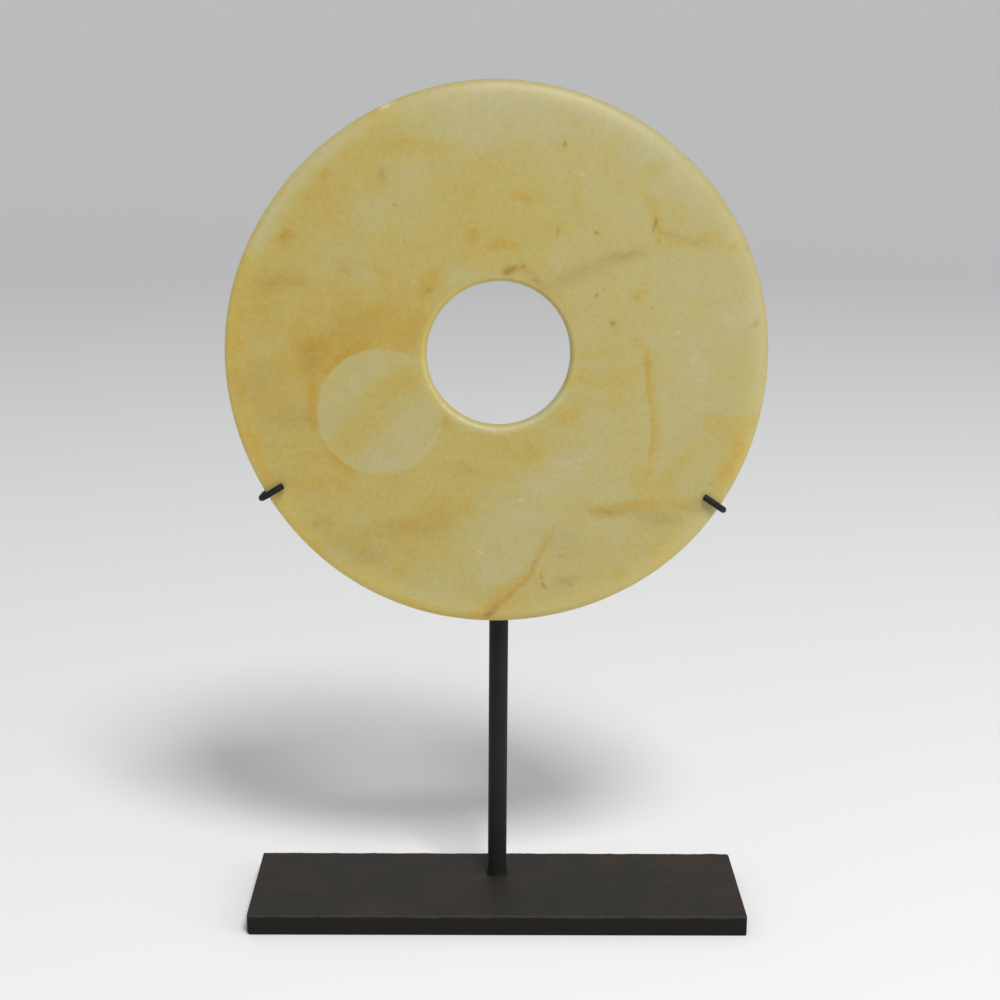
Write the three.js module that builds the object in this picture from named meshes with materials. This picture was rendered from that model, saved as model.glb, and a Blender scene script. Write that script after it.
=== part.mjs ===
// A plain jade bi disc on its display stand, in millimetres, +Z up, front towards -Y.
// The origin is the middle of the base plate's underside.
// The disc stands in two wire hooks and leans back a little against the top of the post.
import * as THREE from 'three';

// Base plate, sawn from flat bar
const PLATE_WIDTH = 250;
const PLATE_DEPTH = 77;
const PLATE_THICKNESS = 10.5;
const PLATE_ARRIS = 0.5; // broken edge, top and bottom
const PLATE_CORNERS = { frontLeft: 1.8, frontRight: 1.0, backRight: 2.4, backLeft: 0.8 }; // worn round
const CORNER_STEPS = 4;

// Post, a round bar welded to the plate
const POST_RADIUS = 4.85;
const POST_X = 0.3;
const POST_Y = 12.4;
const POST_CHAMFER = 0.8;
const POST_SIDES = 32;

// Jade disc, ground by hand
const DISC_RADIUS = 133.4;
const BORE_RADIUS = 35.25;
const HALF_THICKNESS = 6;
const DISC_CENTRE = new THREE.Vector3(-1.3, 4.6, 286.4);
const DISC_LEAN = THREE.MathUtils.degToRad(4); // backwards
const BORE_OFFSET = { right: 0.6, up: 1 }; // the bore was drilled a little off centre
const RIM_NOSE = { width: 4.5, half: 4.9 }; // rounded outer edge, from where the face starts to turn
const BORE_NOSE = { width: 3, half: 5.5 };
const RIM_FALL = 15.7; // width of the gentle slope between the flat face and the rounded rim
const BORE_FALL = 5;
const NOSE_POWER = 2.5; // 2 is a half round, more is squarer
const NOSE_STEPS = 4;
const FALL_STEPS = 2;
const DISC_SIDES = 100;
// The hand-cut outline is out of round by waves of [waves per turn, height, phase in degrees].
const OUTLINE_WAVES = [[2, 0.15, 36], [3, 0.12, -138], [5, 0.33, 130]];
const BORE_WAVES = [[2, 0.06, 90], [3, 0.1, 200]];

// Hook arms, bent from wire and brazed to the sides of the post
const WIRE_RADIUS = 1.6;
const WIRE_SIDES = 12; // an even number
const CLEARANCE = 0.3; // kept between neighbours
const PRONG_REACH = 10.2; // how far the tip of a hook comes in over the face
const HOOK_BEND = 4; // centre-line radius of the two tight bends
const ARM_BEND = 14; // where the arm turns towards the post
const BRAZE_BEND = 6;
const ARM_INNER_RADIUS = 116; // distance from the disc's centre where the arm turns
const BRAZE_BELOW_CENTRE = 62;
const BRAZE_STRAIGHT = 9;
const POST_TOP_BELOW_CENTRE = 48;
const BEND_STEPS = 6;
const HOOKS = [
  { name: 'hook_arm_left', side: -1, below: 31.4, behindBelow: 31.4, gap: 0.9 },
  { name: 'hook_arm_right', side: 1, below: 33.9, behindBelow: 34.4, gap: 0.4 },
];

const jade = new THREE.MeshStandardMaterial({ color: 0xb9aa6e, roughness: 0.45, metalness: 0 });
const blackenedSteel = new THREE.MeshStandardMaterial({ color: 0x35322f, roughness: 0.6, metalness: 0.8 });

// A place given from the disc's centre: right and up in the plane of the disc, and out of its front face.
function onDisc(right, up, front) {
  return new THREE.Vector3(
    DISC_CENTRE.x + right,
    DISC_CENTRE.y + up * Math.sin(DISC_LEAN) - front * Math.cos(DISC_LEAN),
    DISC_CENTRE.z + up * Math.cos(DISC_LEAN) + front * Math.sin(DISC_LEAN),
  );
}

function waves(list, angle) {
  return list.reduce(
    (sum, [count, height, phase]) => sum + height * Math.cos(count * angle - THREE.MathUtils.degToRad(phase)),
    0,
  );
}

// Rectangle with four corners of their own radius, centred on the origin.
function plateOutline() {
  const x = PLATE_WIDTH / 2 - PLATE_ARRIS;
  const y = PLATE_DEPTH / 2 - PLATE_ARRIS;
  const { frontLeft, frontRight, backRight, backLeft } = PLATE_CORNERS;
  const quarter = Math.PI / 2;
  const shape = new THREE.Shape();
  shape.moveTo(-x + frontLeft, -y);
  shape.absarc(x - frontRight, -y + frontRight, frontRight, -quarter, 0);
  shape.absarc(x - backRight, y - backRight, backRight, 0, quarter);
  shape.absarc(-x + backLeft, y - backLeft, backLeft, quarter, 2 * quarter);
  shape.absarc(-x + frontLeft, -y + frontLeft, frontLeft, 2 * quarter, 3 * quarter);
  return shape;
}

function basePlate() {
  const geometry = new THREE.ExtrudeGeometry(plateOutline(), {
    depth: PLATE_THICKNESS - 2 * PLATE_ARRIS,
    curveSegments: CORNER_STEPS,
    bevelThickness: PLATE_ARRIS,
    bevelSize: PLATE_ARRIS,
    bevelSegments: 1,
  });
  geometry.translate(0, 0, PLATE_ARRIS);
  const mesh = new THREE.Mesh(geometry, blackenedSteel);
  mesh.name = 'base_plate';
  return mesh;
}

function post() {
  const top = onDisc(0, -POST_TOP_BELOW_CENTRE, 0).z;
  const profile = [
    [0, PLATE_THICKNESS],
    [POST_RADIUS, PLATE_THICKNESS],
    [POST_RADIUS, top - POST_CHAMFER],
    [POST_RADIUS - POST_CHAMFER, top],
    [0, top],
  ].map(([x, y]) => new THREE.Vector2(x, y));
  const geometry = new THREE.LatheGeometry(profile, POST_SIDES);
  geometry.rotateX(Math.PI / 2);
  const mesh = new THREE.Mesh(geometry, blackenedSteel);
  mesh.position.set(POST_X, POST_Y, 0);
  mesh.name = 'post';
  return mesh;
}

// Half of the disc's section, from the middle of the bore wall over the front face to the middle of the rim.
function halfSection() {
  const points = [];
  const nose = (base, towards, { width, half }, step) => {
    const turn = (step / NOSE_STEPS) * (Math.PI / 2);
    const radius = base + towards * width * Math.cos(turn) ** (2 / NOSE_POWER);
    points.push([radius, half * Math.sin(turn) ** (2 / NOSE_POWER)]);
  };
  const boreBase = BORE_RADIUS + BORE_NOSE.width;
  const rimBase = DISC_RADIUS - RIM_NOSE.width;
  for (let step = 0; step <= NOSE_STEPS; step++) nose(boreBase, -1, BORE_NOSE, step);
  for (let step = 1; step <= FALL_STEPS; step++) {
    const t = step / FALL_STEPS;
    points.push([boreBase + BORE_FALL * t, HALF_THICKNESS - (HALF_THICKNESS - BORE_NOSE.half) * (1 - t) ** 2]);
  }
  for (let step = 0; step < FALL_STEPS; step++) {
    const t = step / FALL_STEPS;
    points.push([rimBase - RIM_FALL * (1 - t), HALF_THICKNESS - (HALF_THICKNESS - RIM_NOSE.half) * t ** 2]);
  }
  for (let step = NOSE_STEPS; step >= 0; step--) nose(rimBase, 1, RIM_NOSE, step);
  return points;
}

function jadeDisc() {
  const front = halfSection();
  const back = front.slice(1, -1).reverse().map(([radius, half]) => [radius, -half]);
  const ring = [...front, ...back, front[0]].map(([radius, half]) => new THREE.Vector2(radius, half));
  // The lathe turns a section drawn the other way round inside out.
  const geometry = new THREE.LatheGeometry(ring.reverse(), DISC_SIDES);
  const position = geometry.attributes.position;
  for (let i = 0; i < position.count; i++) {
    // Lathe axis Y is the disc's front; X is right and -Z is up.
    const right = position.getX(i);
    const up = -position.getZ(i);
    const radius = Math.hypot(right, up);
    const angle = Math.atan2(up, right);
    const outwards = (radius - BORE_RADIUS) / (DISC_RADIUS - BORE_RADIUS);
    const stretch = 1 + (outwards * waves(OUTLINE_WAVES, angle) + (1 - outwards) * waves(BORE_WAVES, angle)) / radius;
    const place = onDisc(
      right * stretch + (1 - outwards) * BORE_OFFSET.right,
      up * stretch + (1 - outwards) * BORE_OFFSET.up,
      position.getY(i),
    );
    position.setXYZ(i, place.x, place.y, place.z);
  }
  geometry.computeVertexNormals();
  const mesh = new THREE.Mesh(geometry, jade);
  mesh.name = 'jade_disc';
  return mesh;
}

// A straight-sided wire route with a round bend at each inner corner. Its steps are closest in the bends.
class BentWire extends THREE.Curve {
  constructor(corners) {
    super();
    this.places = [corners[0].at];
    for (let i = 1; i < corners.length - 1; i++) {
      const { at, bend } = corners[i];
      const before = corners[i - 1].at.clone().sub(at).normalize();
      const after = corners[i + 1].at.clone().sub(at).normalize();
      const halfAngle = before.angleTo(after) / 2;
      const middle = before.clone().add(after).normalize();
      const centre = at.clone().addScaledVector(middle, bend / Math.sin(halfAngle));
      const start = at.clone().addScaledVector(before, bend / Math.tan(halfAngle)).sub(centre);
      const axis = new THREE.Vector3().crossVectors(after, before).normalize();
      const turn = Math.PI - 2 * halfAngle;
      for (let step = 0; step <= BEND_STEPS; step++) {
        const spoke = start.clone().applyAxisAngle(axis, (turn * step) / BEND_STEPS);
        this.places.push(spoke.add(centre));
      }
    }
    this.places.push(corners.at(-1).at);
  }

  getPoint(t, target = new THREE.Vector3()) {
    const along = Math.min(t, 1) * (this.places.length - 1);
    const index = Math.min(Math.floor(along), this.places.length - 2);
    return target.lerpVectors(this.places[index], this.places[index + 1], along - index);
  }

  getPointAt(u, target) {
    return this.getPoint(u, target);
  }

  // The direction at a step is the mean of the pieces on both sides, so that the tube keeps its width.
  getTangentAt(u, target = new THREE.Vector3()) {
    const last = this.places.length - 1;
    const index = Math.round(u * last);
    const here = this.places[index];
    target.set(0, 0, 0);
    if (index > 0) target.add(here.clone().sub(this.places[index - 1]).normalize());
    if (index < last) target.add(this.places[index + 1].clone().sub(here).normalize());
    return target.normalize();
  }
}

function hookArm({ name, side, below, behindBelow, gap }) {
  const spoke = (radius, degrees, front) => {
    const angle = THREE.MathUtils.degToRad(degrees);
    return onDisc(side * radius * Math.cos(angle), -radius * Math.sin(angle), front);
  };
  const bendRadius = DISC_RADIUS + gap + WIRE_RADIUS;
  const off = HALF_THICKNESS + CLEARANCE + WIRE_RADIUS;
  const braze = onDisc(0, -BRAZE_BELOW_CENTRE, 0).z;
  const corners = [
    { at: spoke(DISC_RADIUS - PRONG_REACH, below, off - 0.3) },
    { at: spoke(bendRadius, below, off), bend: HOOK_BEND },
    { at: spoke(bendRadius, behindBelow, -off), bend: HOOK_BEND },
    { at: spoke(ARM_INNER_RADIUS, behindBelow, -off), bend: ARM_BEND },
    { at: new THREE.Vector3(POST_X + side * (POST_RADIUS + BRAZE_STRAIGHT), POST_Y, braze), bend: BRAZE_BEND },
    { at: new THREE.Vector3(POST_X + side * (POST_RADIUS + CLEARANCE), POST_Y, braze) },
  ];
  const route = new BentWire(corners);
  const section = new THREE.Shape();
  section.absarc(0, 0, WIRE_RADIUS, 0, 2 * Math.PI);
  const geometry = new THREE.ExtrudeGeometry(section, {
    extrudePath: route,
    steps: route.places.length - 1,
    curveSegments: WIRE_SIDES / 2,
  });
  const mesh = new THREE.Mesh(geometry, blackenedSteel);
  mesh.name = name;
  return mesh;
}

const stand = new THREE.Group();
stand.add(basePlate(), post(), ...HOOKS.map(hookArm));

const biDisc = new THREE.Group();
biDisc.add(jadeDisc(), stand);

export default biDisc;
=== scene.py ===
"""Looks of a plain jade bi disc and the wire-hooked steel stand that holds it.

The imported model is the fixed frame. Sizes named here are in millimetres unless they say otherwise, and the
meshes are turned to metres at the end.
"""

import math

import bmesh
import bpy
import numpy as np
from mathutils import Matrix, Vector, noise


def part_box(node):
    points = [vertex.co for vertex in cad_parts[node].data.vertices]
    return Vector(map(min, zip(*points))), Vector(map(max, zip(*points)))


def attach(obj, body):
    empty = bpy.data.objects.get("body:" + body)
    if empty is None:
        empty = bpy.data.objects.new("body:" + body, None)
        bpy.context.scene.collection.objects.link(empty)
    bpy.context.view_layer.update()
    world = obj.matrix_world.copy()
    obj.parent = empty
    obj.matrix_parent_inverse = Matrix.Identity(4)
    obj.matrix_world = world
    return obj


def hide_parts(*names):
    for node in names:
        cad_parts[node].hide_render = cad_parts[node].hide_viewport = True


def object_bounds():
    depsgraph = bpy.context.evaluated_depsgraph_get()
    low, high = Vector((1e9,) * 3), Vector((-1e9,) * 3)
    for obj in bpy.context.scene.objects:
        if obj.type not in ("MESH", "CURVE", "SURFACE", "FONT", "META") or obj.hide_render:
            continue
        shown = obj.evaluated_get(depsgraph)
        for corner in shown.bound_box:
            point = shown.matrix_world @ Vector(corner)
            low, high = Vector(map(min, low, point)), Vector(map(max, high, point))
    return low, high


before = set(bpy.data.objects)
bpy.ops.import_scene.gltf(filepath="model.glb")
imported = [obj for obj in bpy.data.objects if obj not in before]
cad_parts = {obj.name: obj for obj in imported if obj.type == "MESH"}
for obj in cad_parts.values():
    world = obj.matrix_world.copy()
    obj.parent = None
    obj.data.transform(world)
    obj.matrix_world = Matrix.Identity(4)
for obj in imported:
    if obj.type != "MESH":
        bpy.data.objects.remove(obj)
CAD_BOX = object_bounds()

bl_info = {
    "name": "Jade Bi Disc",
    "version": (1, 0, 0),
    "blender": (4, 5, 0),
    "location": "3D Viewport > Sidebar > Bi Disc",
    "description": "Carves a plain jade disc and makes the steel stand with wire hooks that holds it",
    "category": "Object",
}

MM = 0.001
BODY = "root"


def box_mm(name):
    """Lowest corner, highest corner and middle of a node of the frame, in millimetres."""
    low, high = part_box(name)
    return low / MM, high / MM, (low + high) / 2 / MM


PLATE_LOW, PLATE_HIGH, PLATE_MIDDLE = box_mm("base_plate")
POST_LOW, POST_HIGH, POST_MIDDLE = box_mm("post")
POST_RADIUS = (POST_HIGH.x - POST_LOW.x) / 2

# Disc
DISC_CENTRE = Vector((-1.3, 4.6, 286.4))
DISC_RADIUS = 133.4
BORE_RADIUS = 35.25
BORE_OFFSET = (0.6, 1.0)  # right and up: the bore was drilled a little off centre
RIM_WIDTH = 17.0  # how far in from the edge the face begins to round over
BORE_WIDTH = 3.2  # the same at the bore
CROWN = (3.0, 0.42)  # powers of the rounding: gentle at first, then steeper up to the edge
RIM_STEPS = 24
BORE_STEPS = 14
FACE_STEP = 1.0  # the front's rings are close together because they carry the stains
BACK_STEP = 4.0
TURN_STEPS = 440
# How far the edges are out of round: waves per turn, height, phase in degrees.
OUTLINE_WAVES = ((2, 0.15, 36), (3, 0.12, -138), (5, 0.33, 130))
BORE_WAVES = ((2, 0.06, 90), (3, 0.1, 200))

# Plate
PLATE_CORNERS = {(-1, -1): 1.8, (1, -1): 1.0, (1, 1): 2.4, (-1, 1): 0.8}  # radius by side and depth
PLATE_CUT = 2.0  # between the cuts across the plate that let the worn arris wander
EDGE_CUTS = (1.3, 2.0, 2.7)  # cuts along the edges, which keep the wear out of the flat faces
KNOCKED = (1.7, 1.2)  # the front left corner's underside: how far in, how high
PLATE_TOP = PLATE_HIGH.z

# Post
POST_SIDES = 64
POST_ARRIS = 0.8
FILLET_CUTS = (0.5, 1.2, 2.2, 3.5)  # heights of the cuts that carry the weld's fillet
FILLET_WIDTH = 0.75

# Hook wires
WIRE_RADIUS = 1.6
WIRE_SIDES = 32
CLEARANCE = 0.3  # between the wire and the disc's faces
PRONG_REACH = 10.2  # how far in from the disc's edge the prong ends
PRONG_LEAN = 0.3  # how much nearer the disc the prong's end is
HOOK_BEND = 4.0
ARM_BEND = 14.0
BRAZE_BEND = 6.0
ARM_INNER_RADIUS = 116.0
BRAZE_BELOW_CENTRE = 62.0
BRAZE_STRAIGHT = 9.0
BRAZE_INSET = 0.2
# Name, node, side, degrees below the middle in front, degrees below behind, gap under the disc's edge.
HOOKS = (
    ("left_hook_wire", "hook_arm_left", -1, 31.4, 31.4, 0.9),
    ("right_hook_wire", "hook_arm_right", 1, 33.9, 34.4, 0.4),
)

# Stage, in metres and degrees
WALL_RADIUS = 3.0
WALL_BEND = 2.2
CAMERA_RIGHT = -0.00876
CAMERA_PAN = -0.561
CAMERA_ROLL = 0.383
CAMERA_SHIFT = -0.05
SENSOR_WIDTH = 36

# Colours
JADE = ((0.0, "#afa77f"), (0.25, "#ada269"), (0.5, "#ae9d54"), (0.75, "#ae943c"), (1.0, "#ae8b22"))
DIRT_AND_SHADOW_TINT = "#e6ddd6"
CRACK = "#a8762a"
SPECK = "#735222"
DARK_FRECKLE = "#7d7038"
PALE_FRECKLE = "#bdb594"
PALE_FLECK = "#c6bf9f"
PLATE_SCALE = ((0.38, "#352b23"), (0.5, "#2d2924"), (0.6, "#272822"))
ROD_BLACK = ((0.3, "#141210"), (0.7, "#191714"))
WORN_STEEL = "#3b3831"
PAPER = "#f3f3f2"
SKY = "#e6e7ea"


# ---------------------------------------------------------------- settings


class DiscSettings(bpy.types.PropertyGroup):
    """The jade disc."""

    thickness: bpy.props.FloatProperty(
        name="Thickness", description="Thickness of the flat part of the disc", default=0.012, unit="LENGTH"
    )
    lean: bpy.props.FloatProperty(
        name="Lean", description="How far the disc leans back", default=math.radians(4),
        subtype="ANGLE", unit="ROTATION",
    )
    roughness: bpy.props.FloatProperty(
        name="Polish", description="Roughness of the hand-rubbed face", default=0.52,
        min=0, max=1, subtype="FACTOR",
    )


class StandSettings(bpy.types.PropertyGroup):
    """The steel stand."""

    arris: bpy.props.FloatProperty(
        name="Broken edge", description="Width of the plate's worn edge", default=0.0006, unit="LENGTH"
    )
    roughness: bpy.props.FloatProperty(
        name="Roughness", description="Roughness of the blackened steel", default=0.55,
        min=0, max=1, subtype="FACTOR",
    )


class StageSettings(bpy.types.PropertyGroup):
    """Camera, lights and floor."""

    key_power: bpy.props.FloatProperty(
        name="Key light", description="Power of the soft box above the camera", default=74.0, unit="POWER"
    )
    side_power: bpy.props.FloatProperty(
        name="Side light", description="Power of the soft box on the right", default=8.0, unit="POWER"
    )
    sky: bpy.props.FloatProperty(
        name="Fill", description="Strength of the pale surroundings", default=0.5, min=0
    )
    distance: bpy.props.FloatProperty(
        name="Distance", description="Camera's distance in front of the plate's middle", default=0.9196,
        unit="LENGTH",
    )
    height: bpy.props.FloatProperty(
        name="Height", description="Camera's height above the floor", default=0.4292, unit="LENGTH"
    )
    tilt: bpy.props.FloatProperty(
        name="Tilt", description="How far the camera looks down", default=math.radians(11.637),
        subtype="ANGLE", unit="ROTATION",
    )
    lens: bpy.props.FloatProperty(
        name="Lens", description="Focal length on a 36 mm sensor", default=68.4, min=10, unit="CAMERA"
    )


# ---------------------------------------------------------------- helpers


def linear(hex_colour):
    """sRGB hex to linear red, green, blue, alpha."""
    channels = [int(hex_colour[i : i + 2], 16) / 255 for i in (1, 3, 5)]
    return (*(c / 12.92 if c <= 0.04045 else ((c + 0.055) / 1.055) ** 2.4 for c in channels), 1.0)


def add(tree, kind, links=None, stops=None, **settings):
    """Adds a shader node.

    links maps a socket to a value or to the output that feeds it, and stops fill a colour ramp.
    """
    node = tree.nodes.new("ShaderNode" + kind)
    for name, value in settings.items():
        setattr(node, name, value)
    for socket, value in (links or {}).items():
        if isinstance(value, bpy.types.NodeSocket):
            tree.links.new(value, node.inputs[socket])
        else:
            node.inputs[socket].default_value = value
    if stops:
        ramp = node.color_ramp
        while len(ramp.elements) < len(stops):
            ramp.elements.new(1.0)
        for element, (position, colour) in zip(ramp.elements, stops):
            element.position = position
            element.color = linear(colour)
    return node


def calc(tree, operation, *values, clamp=False):
    return add(tree, "Math", dict(enumerate(values)), operation=operation, use_clamp=clamp).outputs[0]


def ranged(tree, value, low, high, to_low=0.0, to_high=1.0, smooth=False):
    """Carries low to high onto to_low to to_high, and holds the ends."""
    links = {"Value": value, "From Min": low, "From Max": high, "To Min": to_low, "To Max": to_high}
    kind = "SMOOTHSTEP" if smooth else "LINEAR"
    return add(tree, "MapRange", links, interpolation_type=kind).outputs[0]


def cloud(tree, place, size, detail, roughness=0.5):
    """Noise whose largest forms have a size, in the units of place."""
    links = {"Vector": place, "Scale": 1 / size, "Detail": detail, "Roughness": roughness}
    return add(tree, "TexNoise", links).outputs["Fac"]


def blend(tree, factor, under, over, kind="MIX"):
    links = {"Factor": factor, "A": under, "B": over}
    return add(tree, "Mix", links, data_type="RGBA", blend_type=kind).outputs[2]


def distance_to(tree, place, point):
    return add(tree, "VectorMath", {0: place, 1: point}, operation="DISTANCE").outputs["Value"]


def new_material(name):
    material = bpy.data.materials.new(name)
    material.use_nodes = True
    tree = material.node_tree
    tree.nodes.clear()
    return material, tree


def revolve(bm, verts, edges, steps):
    """Spins an outline once round the Z axis."""
    bmesh.ops.spin(
        bm, geom=verts + edges, cent=(0, 0, 0), axis=(0, 0, 1), dvec=(0, 0, 0),
        angle=2 * math.pi, steps=steps, use_merge=True, use_duplicate=False,
    )


def bevel(bm, edges, width, segments):
    bmesh.ops.bevel(
        bm, geom=edges, offset=width, offset_type="OFFSET", segments=segments, profile=0.5,
        affect="EDGES", material=-1, clamp_overlap=True,
    )


def level_edges(bm):
    return [e for e in bm.edges if abs(e.verts[0].co.z - e.verts[1].co.z) < 0.01]


def cut(bm, place, normal):
    """Adds edges where a plane crosses the mesh."""
    geom = bm.verts[:] + bm.edges[:] + bm.faces[:]
    bmesh.ops.bisect_plane(bm, geom=geom, dist=1e-5, plane_co=place, plane_no=normal)


def finish_piece(bm, name, material, slot, *replaced, sharp=35):
    """Turns a millimetre bmesh into a finished piece that rides with the stand."""
    bmesh.ops.recalc_face_normals(bm, faces=bm.faces)
    mesh = bpy.data.meshes.new(name)
    bm.to_mesh(mesh)
    bm.free()
    mesh.transform(Matrix.Scale(MM, 4))
    mesh.shade_smooth()
    mesh.set_sharp_from_angle(angle=math.radians(sharp))
    mesh.materials.append(material)
    piece = bpy.data.objects.new(name, mesh)
    bpy.context.scene.collection.objects.link(piece)
    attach(piece, BODY)
    if replaced:
        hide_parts(*replaced)
    return piece


def disc_matrix(lean):
    """Carries right, up and front, measured from the disc's centre, to the frame."""
    right = Vector((1, 0, 0))
    up = Vector((0, math.sin(lean), math.cos(lean)))
    front = Vector((0, -math.cos(lean), math.sin(lean)))
    turn = Matrix((right, up, front)).transposed().to_4x4()
    return Matrix.Translation(DISC_CENTRE) @ turn


def waves(terms, angle):
    return sum(height * np.cos(count * angle - math.radians(phase)) for count, height, phase in terms)


# ---------------------------------------------------------------- jade disc

# Iron stain on the front, painted stroke over stroke from broad to fine, in mm from the disc's centre:
# right, up, half length, half width, turn in degrees, level (0 pale grey-green, 1 rust), opacity.
BROAD_STAINS = (
    (10, 118, 62, 17, 0, 0.10, 0.9),
    (-14, 111, 17, 12, 0, 0.12, 0.7),
    (76, 100, 32, 13, -45, 0.05, 0.9),
    (60, 80, 26, 30, 0, 0.28, 0.6),
    (100, 28, 32, 36, 0, 0.22, 0.75),
    (120, 22, 9, 12, 0, 0.1, 0.6),
    (88, -24, 13, 18, 0, 0.2, 0.8),
    (98, -6, 6, 12, 0, 0.1, 0.6),
    (81, 6, 9, 5, 0, 0.15, 0.6),
    (34, -52, 14, 14, 0, 0.12, 0.85),
    (50, -35, 10, 16, 0, 0.2, 0.7),
    (20, -64, 11, 7, 0, 0.14, 0.7),
    (12, -86, 19, 16, 0, 0.17, 0.85),
    (2, -106, 17, 9, 0, 0.18, 0.85),
    (55, -62, 12, 12, 0, 0.22, 0.7),
    (42, -85, 20, 12, 0, 0.28, 0.6),
    (-32, -117, 22, 8, -10, 0.25, 0.7),
    (-42, 81, 14, 14, 0, 0.27, 0.85),
    (-59, 68, 12, 9, 0, 0.24, 0.85),
    (-80, 51, 15, 9, 0, 0.32, 0.85),
    (-68, 41, 6, 8, 0, 0.3, 0.7),
    (-85, 38, 6, 5, 0, 0.36, 0.5),
    (-112, 5, 9, 5, 25, 0.3, 0.85),
    (-118, -36, 6, 4, 0, 0.38, 0.6),
    (-110, -56, 9, 5, 0, 0.36, 0.6),
    (-18, 39, 8, 5, 20, 0.2, 0.95),
    (-70, -76, 14, 9, 0, 0.42, 0.5),
    (-79, -97, 7, 4, 0, 0.3, 0.6),
    (-12, -87, 11, 9, 0, 0.28, 0.7),
    (33, 48, 9, 6, 0, 0.18, 0.6),
    (-96, 70, 24, 26, -20, 0.58, 0.6),
    (-70, 95, 22, 11, 20, 0.54, 0.6),
    (-10, 75, 27, 20, 0, 0.5, 0.7),
    (0, 61, 29, 13, 0, 0.55, 0.7),
    (-16, 50, 14, 8, 0, 0.58, 0.6),
    (-75, 20, 40, 15, 8, 0.66, 0.8),
    (-100, 10, 22, 12, 0, 0.6, 0.5),
    (-98, -22, 16, 26, 0, 0.6, 0.8),
    (-118, 38, 12, 24, -15, 0.64, 0.7),
    (-85, -60, 24, 13, 0, 0.59, 0.7),
    (-42, -72, 26, 13, 0, 0.56, 0.65),
    (-45, -92, 18, 9, 0, 0.58, 0.7),
    (4, -43, 30, 7, 0, 0.56, 0.9),
    (-10, -57, 20, 6, 0, 0.55, 0.8),
    (-38, -58, 10, 8, 0, 0.52, 0.6),
    (64, -9, 11, 13, 0, 0.5, 0.7),
    (82, -92, 14, 12, 0, 0.46, 0.7),
    (84, -78, 10, 10, 0, 0.47, 0.6),
    (115, -50, 11, 13, 0, 0.45, 0.7),
)
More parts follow.
